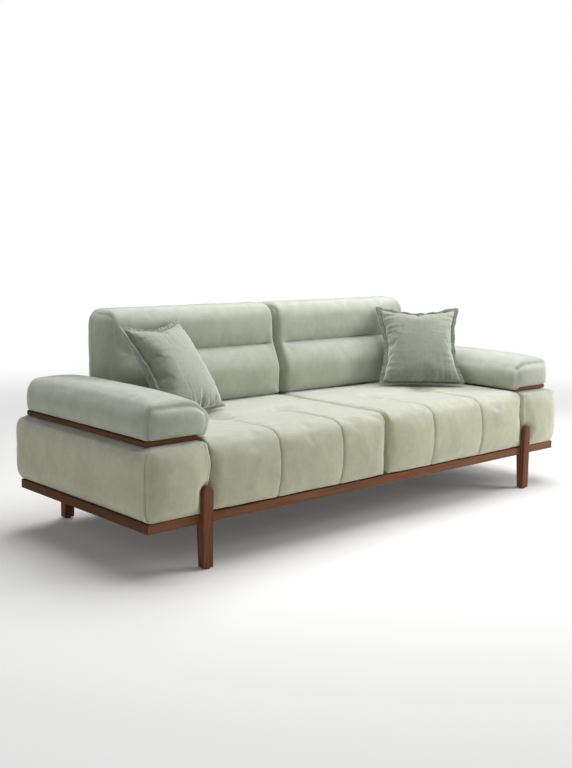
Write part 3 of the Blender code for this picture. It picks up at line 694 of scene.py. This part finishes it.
def seat():
    """The right-hand seat: channels up its front and over the edge, fading into a row of tufts."""
    low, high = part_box("seat_right_cover")
    front = PLINTH_FRONT + 0.002
    base_low = (low.x + SEAT_GAP + TIGHT, front, low.z)
    base_high = (high.x - TIGHT, -front, high.z - 0.0015)
    form = SoftBox(base_low, base_high, SEAT_ROUNDING, (SEAT_SEAMS, (TUFT_Y,), ()))
    form.swell(1, 0, SEAT_FRONT_SWELL, (6, 2.2), (0.0, -0.06))
    form.swell(1, 1, SEAT_BACK_SWELL, (4, 2))
    for x in SEAT_SEAMS:
        on_front = form.face(1, 0)
        on_top = form.face(2, 1) & (form.flat[:, 1] <= TUFT_Y + 1e-6)
        fade = np.clip((TUFT_Y - form.flat[:, 1]) / (TUFT_Y - form.low[1]), 0, 1)
        on_top_depth = CHANNEL_TOP_DEPTHS[0] + CHANNEL_TOP_DEPTHS[1] * fade ** 2
        depth = np.where(on_front, CHANNEL_FRONT_DEPTH, np.where(on_top, on_top_depth, 0.0))
        form.groove(np.abs(form.flat[:, 0] - x), depth)
        beside = np.abs(np.abs(form.flat[:, 0] - x) - STITCH_OFFSET)
        pulled = np.exp(-(beside / CHANNEL_ROLL_WIDTH) ** 2) * depth * CHANNEL_ROLL
        form.shape -= form.normal * pulled[:, None]
        tuft = (x, TUFT_Y, form.high[2])
        form.dimple(tuft, TUFT_DEPTH, TUFT_RADIUS, TUFT_FOLDS, TUFT_FOLD_DEPTH, x * 9)
    for side_x in (0, 1):
        form.edge_seam(0, side_x, 1, 0, FINE_SEAM)
        form.edge_seam(0, side_x, 2, 1, FINE_SEAM)
    form.pin[form.face(2, 0)] = 1.0
    obj = inflate(form.build("seat_right_upholstery"), 1.6, 0.007, slack=0.004)
    points = coordinates(obj)
    ripple = np.array([noise.noise(Vector(p) * SEAT_RIPPLE_SCALE) for p in points])
    points += form.normal * (ripple * SEAT_RIPPLE)[:, None]
    set_coordinates(obj, points)
    bounded(obj, (low.x + SEAT_GAP, low.y - 0.008, low.z),
            (high.x - TIGHT / 2, high.y, high.z + 0.0025))
    points = coordinates(obj)
    under_back = points[:, 1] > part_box("back_right_cover")[0].y - UNDER_BACK
    under_pad = points[:, 0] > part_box("arm_right_pad_cover")[0].x - UNDER_PAD
    beneath = under_back | under_pad
    points[beneath, 2] = np.minimum(points[beneath, 2], high.z - 0.0002)
    set_coordinates(obj, points)
    return clear_of_legs(leaned_in(obj), 1)


def channel_rows(low, high):
    """Paths of the stitches each side of the seat's channels and along its side seams."""
    rows = []
    front = low.y + 0.01
    places = [(x + d, TUFT_Y - 0.02) for x in SEAT_SEAMS for d in (-STITCH_OFFSET, STITCH_OFFSET)]
    places += [(low.x + 0.016, 0.15), (high.x - 0.014, TRIM_FRONT)]
    for x, back in places:
        rows.append([(x, front, low.z + 0.006), (x, front - 0.02, (low.z + high.z) / 2),
                     (x, front, high.z - 0.035), (x, front + 0.012, high.z - 0.012),
                     (x, front + 0.035, high.z), (x, back, high.z)])
    return rows


def seats():
    right = seat()
    pair = {"right": right, "left": mirrored(right, "seat_left_upholstery")}
    low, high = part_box("seat_right_cover")
    rows = channel_rows(low, high)
    for hand, side in HANDS:
        obj = subdivided(pair[hand])
        nodes = (f"seat_{hand}_cover", f"seat_{hand}_foam")
        finish_piece(obj, "sofa", SEAT_FABRIC, nodes)
        paths = [[(side * x, y, z) for x, y, z in row] for row in rows]
        sew(f"seat_{hand}_stitching", obj, paths, "sofa", SEAT_THREAD)


# Arms


def arm_base():
    """The right-hand arm base: outer and end panels that puff out between upright corner seams."""
    low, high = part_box("arm_right_cover")
    front = PLINTH_FRONT - 0.001
    base_low = (low.x + TIGHT, front, low.z)
    base_high = (TRIM_OUTER + ARM_OUTER, -front, high.z - 0.001)
    hem = base_low[0] + ARM_HEM
    form = SoftBox(base_low, base_high, ARM_ROUNDING, ((hem,), (), ()))
    rise = 2 * np.clip((form.flat[:, 2] - form.low[2]) / (form.high[2] - form.low[2]), 0, 1) - 1
    bow = 1 - np.abs(rise) ** np.where(rise > 0, ARM_BOW_POWERS[1], ARM_BOW_POWERS[0])
    outward = np.clip((form.flat[:, 0] - form.low[0]) / (form.high[0] - form.low[0]), 0, 1)
    endward = form.flat[:, 1] / form.high[1]
    form.shape[:, 0] += bow * outward * (ARM_BOW + ARM_BOW_REAR * np.clip(endward, 0, 1) ** 2)
    end_bow = np.where(endward > 0, ARM_END_BOW[1], ARM_END_BOW[0])
    form.shape[:, 1] += bow * outward ** 2 * end_bow * endward ** 9
    form.swell(0, 1, ARM_SIDE_SWELL, (20, 2.2))
    form.swell(1, 0, ARM_FRONT_SWELL, (2.0, 3.0), (-0.06, 0.0))
    form.swell(1, 1, ARM_REAR_SWELL, (6, 6))
    for end in (0, 1):
        form.edge_seam(0, 1, 1, end, ARM_SEAM_DEPTH)
        form.edge_seam(0, 0, 1, end, FINE_SEAM)
    pucker = (form.high[0] + 0.006, form.low[1], form.high[2] - 0.034)
    form.dimple(pucker, 0.005, 0.020, 9, 0.0026, 0.4)
    form.edge_seam(0, 0, 2, 1, FINE_SEAM)
    on_ends = (form.face(1, 0) | form.face(1, 1)) & (form.flat[:, 2] > LEG_HEAD + 0.01)
    form.groove(np.abs(form.flat[:, 0] - hem), np.where(on_ends, ARM_HEM_DEPTH, 0.0))
    form.pin[form.face(2, 0)] = 1.0
    form.pin[form.face(2, 1) & (form.flat[:, 0] < TRIM_OUTER)] = 1.0
    obj = inflate(form.build("arm_right_upholstery"), 1.8, 0.008, slack=0.005)
    bounded(obj, (low.x + TIGHT / 2, low.y - 0.012, low.z),
            (high.x + 0.012, high.y + 0.006, high.z))
    return clear_of_legs(leaned_in(obj), 1)


def arm_pad():
    """The right-hand arm pad: a slab with a panel sewn in at each end, low to the seat inside."""
    low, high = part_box("arm_right_pad_cover")
    base_low = (low.x - 0.012, low.y + 0.008, low.z)
    base_high = (high.x - 0.004, high.y - 0.004, high.z - 0.016)
    form = SoftBox(base_low, base_high, PAD_ROUNDING)
    form.swell(2, 1, PAD_TOP_SWELL, (2.0, 4), (0.30, 0.0))
    form.swell(0, 1, PAD_SIDE_SWELL, (8, 2))
    form.swell(1, 0, PAD_FRONT_SWELL, (2.6, 2.2), (-0.15, 0.0))
    form.swell(1, 1, PAD_REAR_SWELL, (4, 2.2), (0.0, 0.05))
    inward = np.clip((form.low[0] + PAD_SLOPE_WIDTH - form.flat[:, 0]) / PAD_SLOPE_WIDTH, 0, 1)
    upper = np.clip((form.flat[:, 2] - form.low[2]) / (form.high[2] - form.low[2]), 0, 1)
    form.shape[:, 2] -= PAD_SLOPE * inward ** 1.5 * upper
    form.shape[:, 0] += PAD_TUCK * inward * (1 - upper) ** 2
    along = form.flat[:, 1]
    ended = np.clip((np.abs(along) - PAD_CORNER_FROM) / 0.10, 0, 1) * np.sign(along)
    form.shape[:, 1] -= PAD_CORNER_TURN * inward ** 3.0 * ended
    for end in (0, 1):
        form.edge_seam(0, 1, 1, end, PAD_SEAM_DEPTH)
        form.edge_seam(2, 1, 1, end, PAD_TOP_SEAM_DEPTH)
    form.pin[form.face(2, 0)] = 1.0
    seat_top = SEAT_TOP + TIGHT / 2
    inner = np.clip((TRIM_INNER - 0.0035 - form.flat[:, 0]) / PAD_DROP_RUN, 0, 1)
    inner = inner * inner * (3 - 2 * inner)
    share = np.clip((form.high[2] - form.shape[:, 2]) / (form.high[2] - form.low[2]), 0, 1) ** 2
    form.shape[:, 2] -= inner * (form.low[2] - seat_top) * share
    obj = inflate(form.build("arm_right_pad"), 1.6, 0.006, slack=0.004)
    return bounded(obj, (low.x - 0.014, low.y - 0.011, seat_top),
                   (high.x + 0.006, high.y + 0.012, high.z + 0.004))


def arms():
    base = arm_base()
    pad = arm_pad()
    bases = {"right": base, "left": mirrored(base, "arm_left_upholstery")}
    pads = {"right": pad, "left": mirrored(pad, "arm_left_pad")}
    low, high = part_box("arm_right_cover")
    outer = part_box("plinth_right_rail")[1].x
    pad_low, pad_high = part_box("arm_right_pad_cover")
    base_rows = []
    pad_rows = []
    for end, out in ((low.y, -1), (high.y, 1)):
        edge = end - out * 0.012
        base_rows.append([(outer - 0.012, edge, low.z + 0.006), (outer - 0.012, edge, high.z - 0.03)])
        base_rows.append([(outer + 0.004, edge - out * 0.012, low.z + 0.006),
                          (outer + 0.004, edge - out * 0.012, high.z - 0.03)])
        inner = low.x + 0.012
        base_rows.append([(inner, end, low.z + 0.10), (inner, end, high.z - 0.02),
                          (inner, end - out * 0.04, high.z), (inner, end - out * 0.06, high.z)])
        pad_end = pad_low.y if out < 0 else pad_high.y
        back = pad_end - out * 0.022
        top = pad_high.z - 0.012
        outer_x = pad_high.x
        pad_rows.append([(outer_x, back, pad_low.z + 0.012), (outer_x, back, top - 0.040),
                         (outer_x - 0.012, back, top - 0.012), (outer_x - 0.040, back, top + 0.004),
                         ((pad_low.x + outer_x) / 2, back, top + 0.01), (pad_low.x + 0.05, back, top)])
    for hand, side in HANDS:
        obj = subdivided(bases[hand])
        nodes = (f"arm_{hand}_cover", f"arm_{hand}_padding")
        finish_piece(obj, "sofa", SEAT_FABRIC, nodes)
        paths = [[(side * x, y, z) for x, y, z in row] for row in base_rows]
        sew(f"arm_{hand}_stitching", obj, paths, "sofa", SEAT_THREAD)
        obj = subdivided(pads[hand])
        nodes = (f"arm_{hand}_pad_cover", f"arm_{hand}_pad_foam")
        finish_piece(obj, "sofa", BACK_FABRIC, nodes)
        paths = [[(side * x, y, z) for x, y, z in row] for row in pad_rows]
        sew(f"arm_{hand}_pad_stitching", obj, paths, "sofa", BACK_THREAD)


# Backs


def back():
    """The right-hand back unit: a lower lobe and a set-back upper roll, parted by a stitched crease."""
    low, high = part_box("back_right_cover")
    base_low = (low.x + BACK_GAP + 0.001, low.y + BACK_ROLL_SET, low.z)
    base_high = (high.x, high.y - 0.003, high.z - 0.008)
    form = SoftBox(base_low, base_high, BACK_ROUNDING, ((), (), (CREASE_Z,)))
    share = np.clip((form.high[1] - form.shape[:, 1]) / (form.high[1] - form.low[1]), 0, 1)
    height = form.flat[:, 2]
    lobe = np.clip((CREASE_Z + 0.035 - height) / (CREASE_Z - 0.49), 0, 1)
    lobe = lobe * lobe * (3 - 2 * lobe)
    lean = np.clip((height - CREASE_Z) / (high.z - CREASE_Z), 0, 1)
    across = 2 * (form.flat[:, 0] - form.low[0]) / (form.high[0] - form.low[0]) - 1
    from_outer = np.clip((form.high[0] - form.flat[:, 0]) / LOBE_FADE, 0, 1)
    outer_fade = LOBE_LEFT + (1 - LOBE_LEFT) * from_outer ** 0.7
    forward = LOBE_DEPTH * outer_fade + LOBE_CROWN * (1 - across ** 2)
    form.shape[:, 1] += share * (ROLL_LEAN * lean - forward * lobe)
    inner_end = (form.flat[:, 0] - form.low[0] - CREASE_INNER_END) / CREASE_FADES[0]
    outer_end = (form.high[0] - form.flat[:, 0] - CREASE_OUTER_END) / CREASE_FADES[1]
    fade = np.clip(np.minimum(inner_end, outer_end) + 0.5, 0, 1)
    depth = np.where(form.face(1, 0), CREASE_DEPTH * fade, 0.0)
    form.groove(np.abs(height - CREASE_Z), depth, CREASE_WIDTH)
    roundness = np.exp(-((height - CREASE_Z) / CREASE_DIP_HEIGHT) ** 2)
    form.shape[:, 1] += np.where(form.face(1, 0), CREASE_DIP * fade * roundness, 0.0)
    crease_end = (form.low[0] + CREASE_INNER_END, form.low[1] - 0.008, CREASE_Z)
    form.dimple(crease_end, 0.004, 0.020, 5, 0.0010)
    for side_x in (0, 1):
        form.edge_seam(0, side_x, 1, 0, BACK_SEAM_DEPTH)
        form.edge_seam(0, side_x, 2, 1, FINE_SEAM)
        form.edge_seam(0, side_x, 1, 1, FINE_SEAM)
    form.swell(0, 1, BACK_SIDE_SWELL, (4, 3))
    form.pin[form.face(2, 0)] = 1.0
    obj = inflate(form.build("back_right_upholstery"), 1.6, 0.006, slack=0.004)
    bounded(obj, (low.x + BACK_GAP, low.y - 0.022, low.z),
            (high.x + 0.018, high.y + 0.004, high.z + 0.003))
    return obj


def backs():
    right = back()
    pair = {"right": right, "left": mirrored(right, "back_left_upholstery")}
    low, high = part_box("back_right_cover")
    rows = []
    for x in (low.x + 0.003, high.x - 0.003):
        rows.append([(x, low.y + 0.02, low.z + 0.01), (x, low.y + 0.015, 0.50), (x, low.y + 0.03, 0.58),
                     (x, low.y + 0.06, CREASE_Z), (x, low.y + 0.07, 0.72), (x, low.y + 0.10, 0.77),
                     (x, low.y + 0.15, high.z - 0.01), (x, high.y - 0.06, high.z - 0.01),
                     (x, high.y - 0.01, 0.74), (x, high.y, low.z + 0.02)])
    for hand, side in HANDS:
        obj = subdivided(pair[hand])
        nodes = (f"back_{hand}_cover", f"back_{hand}_foam")
        finish_piece(obj, "sofa", BACK_FABRIC, nodes)
        paths = [[(side * x, y, z) for x, y, z in row] for row in rows]
        sew(f"back_{hand}_stitching", obj, paths, "sofa", BACK_THREAD)


# Loose cushions


def gathers(u, v, seed):
    """How high the folds stand that run in from each edge of a cushion, from -1 to 1.

    u and v run from -1 to 1 across the filling.
    """
    total = np.zeros(len(u))
    for i, (x, z) in enumerate(zip(u, v)):
        for number, (along, across) in enumerate(((x, z), (x, -z), (z, x), (z, -x))):
            away = 1 - across
            turn = seed + 7.0 * number
            reach = 0.22 + 0.16 * noise.noise(Vector((along * 2.3, turn, 0)))
            fold = noise.noise(Vector((along * 13.0, away * 1.6 + turn, 3.0)))
            total[i] += fold * math.exp(-away / reach) * (1 - math.exp(-away / 0.05))
    return total


def pillow(name, seed):
    """A stuffed square, face towards -Y, blown up from a thin start so that its edges pucker."""
    half = CUSHION_FILLED
    rim_half = CUSHION_RIM
    form = SoftBox((-half, -rim_half, -half), (half, rim_half, half), ((rim_half, rim_half),) * 3,
                   cell=CUSHION_CELL)
    u = form.flat[:, 0] / half
    v = form.flat[:, 2] / half
    fill = (np.clip(1 - np.abs(u) ** 2.4, 0, 1) * np.clip(1 - np.abs(v) ** 2.4, 0, 1)) ** 0.52
    form.shape[:, 1] += np.sign(form.flat[:, 1]) * (CUSHION_THICKNESS / 2 - 2 * rim_half) * fill
    pull = CUSHION_PULL
    form.shape[:, 0] -= form.shape[:, 0] * pull / half * (1 - v ** 2)
    form.shape[:, 2] -= form.shape[:, 2] * pull / half * (1 - u ** 2)
    wobble = np.array([noise.noise(Vector((p[0], p[1] * 3 + seed, p[2])) * CUSHION_WOBBLE_SCALE)
                       for p in form.shape])
    form.shape[:, 1] += np.sign(form.flat[:, 1]) * CUSHION_WOBBLE * wobble * fill ** 0.3
    obj = inflate(form.build(name), 5.5, 0.040, frames=24, slack=0.03, bending=0.05, stiffness=10,
                  held=False)
    points = coordinates(obj)
    rim = form.face(0, 0) | form.face(0, 1) | form.face(2, 0) | form.face(2, 1)
    corner = np.abs(points[rim]).max(axis=0)
    points[:, 0] *= half / corner[0]
    points[:, 2] *= half / corner[2]
    points[:, 1] *= CUSHION_THICKNESS / 2 / np.abs(points[:, 1]).max()
    points[:, 1] += np.sign(form.flat[:, 1]) * CUSHION_FOLD * gathers(u, v, seed)
    under = points[form.face(2, 0)]
    under = under[np.argsort(under[:, 0])]
    drop = np.interp(points[:, 0], under[:, 0], np.abs(under[:, 2]))
    stretch = 1 + CUSHION_SETTLED * ((half + CUSHION_SAG) / drop - 1)
    points[:, 2] *= np.where(points[:, 2] < 0, stretch, 1.0)
    set_coordinates(obj, points)
    return obj, form, rim


def border_loop(form, rim, points):
    """Middle of the rim, in order round the cushion, with the way out at each place."""
    half = CUSHION_FILLED
    found = {}
    for i in np.nonzero(rim)[0]:
        key = (round(form.flat[i, 0], 6), round(form.flat[i, 2], 6))
        found.setdefault(key, []).append(points[i])
    order = sorted(found, key=lambda k: math.atan2(k[1], k[0]))
    middles = np.array([np.mean(found[k], axis=0) for k in order])
    outs = []
    for x, z in order:
        u, v = x / half, z / half
        tucked = BORDER_TUCKED if v < 0 else 1.0
        outs.append((math.copysign(abs(u) ** 24, u), 0.0, math.copysign(abs(v) ** 24 * tucked, v)))
    return middles, np.array(outs)


def border(name, form, rim, points, seed):
    """The flat stitched border round a cushion, a little wavy between its corners."""
    middles, outs = border_loop(form, rim, points)
    count = len(middles)
    places = []
    for row in BORDER_ROWS:
        for i in range(count):
            turn = 2 * math.pi * i / count
            wave = sum(share * math.sin(waves * turn + shift * seed)
                       for waves, shift, share in BORDER_WAVES)
            sway = BORDER_SWAY * wave * max(0.0, row / BORDER_WIDTH) ** 1.2
            pull = 1 - BORDER_PUCKER * (0.5 + 0.5 * math.sin(BORDER_WAVES[0][0] * turn + seed))
            place = middles[i] + outs[i] * (row * pull if row > 0 else row)
            places.append(place + np.array([0.0, sway, 0.0]))
    faces = []
    for r in range(len(BORDER_ROWS) - 1):
        for i in range(count):
            a, b = r * count + i, r * count + (i + 1) % count
            faces.append([a, a + count, b + count, b])
    obj = new_object(name, places, faces)
    wall = obj.modifiers.new("Solidify", "SOLIDIFY")
    wall.thickness = BORDER_WALL
    wall.offset = 0
    return subdivided(obj), middles, outs


def cushions():
    for number, (hand, _) in enumerate(HANDS):
        seed = 1.7 + 2.9 * number
        obj, form, rim = pillow(f"cushion_{hand}_pillow", seed)
        points = coordinates(obj)
        edge, middles, outs = border(f"cushion_{hand}_border", form, rim, points, seed)
        low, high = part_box(f"cushion_{hand}_cover")
        tilt, turn = CUSHION_TURNS[hand]
        turned = Euler((math.radians(tilt), 0, math.radians(turn))).to_matrix().to_4x4()
        place = Matrix.Translation((low + high) / 2) @ turned
        subdivided(obj)
        loop = [tuple(m + o * CUSHION_SEAM_OUT) for m, o in zip(middles, outs)]
        loop.append(loop[0])
        spread = CUSHION_SEAM_SPREAD
        rows = [[(x, y + d, z) for x, y, z in loop] for d in (-spread, spread)]
        body = f"cushion_{hand}"
        thread = sew(f"cushion_{hand}_stitching", edge, rows, body, VELVET_THREAD)
        for piece in (obj, edge, thread):
            piece.matrix_world = place
        nodes = (f"cushion_{hand}_cover", f"cushion_{hand}_insert")
        finish_piece(obj, body, VELVET, nodes)
        edge.data.materials.append(BORDER_VELVET_PAINTED_SHADE)
        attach(edge, body)
        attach(thread, body)


# Carried-over wood, metal and plastic


def carried_over():
    """Better surfaces for the nodes that stay as the frame made them."""
    fine = {
        "plinth_front": walnut("walnut_along_x", 0, 0.0, 1.0),
        # The side rails and side mouldings take the same walnut painted darker, at 0.52: painted shade
        # for the side faces.
        "walnut_sides_painted_shade": walnut("walnut_along_y_painted_shade", 1, 0.2, 0.52),
        "leg_": walnut("walnut_upright", 2, 0.3, 0.94),
        "pine_x": plain_wood("pine_along_x", 0),
        "pine_y": plain_wood("pine_along_y", 1),
        "steel": fine_grained("spring_steel", (0.42, 0.42, 0.43), 0.38, 1.0),
        "nylon": fine_grained("black_nylon", (0.03, 0.03, 0.03), 0.5),
        "cambric": fine_grained("black_cambric", (0.022, 0.022, 0.022), 0.9, 0.0, 1500.0, 0.0003),
    }
    rules = (
        ("leg_bolt", "steel"), ("spring", "steel"), ("glide", "nylon"), ("dust_cover", "cambric"),
        ("leg_", "leg_"), ("plinth_front", "plinth_front"), ("plinth_back", "plinth_front"),
        ("plinth", "walnut_sides_painted_shade"), ("side_moulding", "walnut_sides_painted_shade"), ("front_moulding", "plinth_front"),
        ("bearer", "pine_y"), ("board", "pine_y"), ("carcass", "pine_y"), ("frame", "pine_x"),
    )
    for name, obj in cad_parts.items():
        if obj.hide_render:
            continue
        surface = next(fine[key] for part, key in rules if part in name)
        obj.data.materials.clear()
        obj.data.materials.append(surface)


# Studio


def studio():
    """A pale floor that fades into a white surround, a broad key light at the right and soft fill."""
    scene = bpy.context.scene
    world = bpy.data.worlds.new("surround")
    scene.world = world
    world.use_nodes = True
    tree = world.node_tree
    tree.nodes.clear()
    seen = add(tree, "ShaderNodeLightPath").outputs["Is Camera Ray"]
    fill = add(tree, "ShaderNodeBackground", Color=(1, 1, 1, 1), Strength=AMBIENT)
    white = add(tree, "ShaderNodeBackground", Color=(1, 1, 1, 1), Strength=1.0)
    mixed = add(tree, "ShaderNodeMixShader", _0=seen, _1=fill.outputs[0], _2=white.outputs[0])
    add(tree, "ShaderNodeOutputWorld", Surface=mixed.outputs[0])

    bpy.ops.mesh.primitive_circle_add(vertices=96, radius=40, fill_type="NGON")
    floor = bpy.context.object
    floor.name = "floor"
    surface, tree, shader = new_material("pale_floor")
    shader.inputs["Base Color"].default_value = (0.88, 0.88, 0.88, 1)
    shader.inputs["Emission Color"].default_value = (1.0, 0.96, 0.93, 1)
    shader.inputs["Emission Strength"].default_value = FLOOR_GLOW
    shader.inputs["Roughness"].default_value = 0.6
    shader.inputs["Specular IOR Level"].default_value = 0.2
    space = add(tree, "ShaderNodeTexCoord").outputs["Object"]
    away = add(tree, "ShaderNodeVectorMath", {"operation": "LENGTH"}, _0=space).outputs["Value"]
    fade = add(tree, "ShaderNodeMapRange", {"interpolation_type": "SMOOTHSTEP"}, Value=away,
               From_Min=FLOOR_FADE[0], From_Max=FLOOR_FADE[1]).outputs["Result"]
    glow = add(tree, "ShaderNodeEmission", Color=(1, 1, 1, 1), Strength=1.0)
    mixed = add(tree, "ShaderNodeMixShader", _0=fade, _1=shader.outputs[0], _2=glow.outputs[0])
    tree.links.new(mixed.outputs[0], tree.nodes["Material Output"].inputs["Surface"])
    floor.data.materials.append(surface)
    for name, place, size, power in LIGHTS:
        data = bpy.data.lights.new(name, "AREA")
        data.size = size
        data.energy = power
        lamp = bpy.data.objects.new(name, data)
        scene.collection.objects.link(lamp)
        lamp.location = place
        lamp.rotation_euler = (Vector(LIGHTS_AIM) - Vector(place)).to_track_quat("-Z", "Y").to_euler()
    scene.view_settings.view_transform = "Standard"
    scene.view_settings.look = "None"


def camera():
    scene = bpy.context.scene
    data = bpy.data.cameras.new("camera")
    data.lens = CAMERA_LENS
    data.sensor_width = 36
    obj = bpy.data.objects.new("camera", data)
    scene.collection.objects.link(obj)
    yaw, pitch, roll = CAMERA_YAW, CAMERA_PITCH, CAMERA_ROLL
    ahead = Vector((math.sin(yaw) * math.cos(pitch), math.cos(yaw) * math.cos(pitch), math.sin(pitch)))
    level = Vector((math.cos(yaw), -math.sin(yaw), 0))
    above = level.cross(ahead)
    right = level * math.cos(roll) + above * math.sin(roll)
    up = above * math.cos(roll) - level * math.sin(roll)
    turned = Matrix((right, up, -ahead)).transposed().to_4x4()
    obj.matrix_world = Matrix.Translation(CAMERA_PLACE) @ turned
    scene.camera = obj


camera()
studio()
seats()
arms()
backs()
cushions()
carried_over()
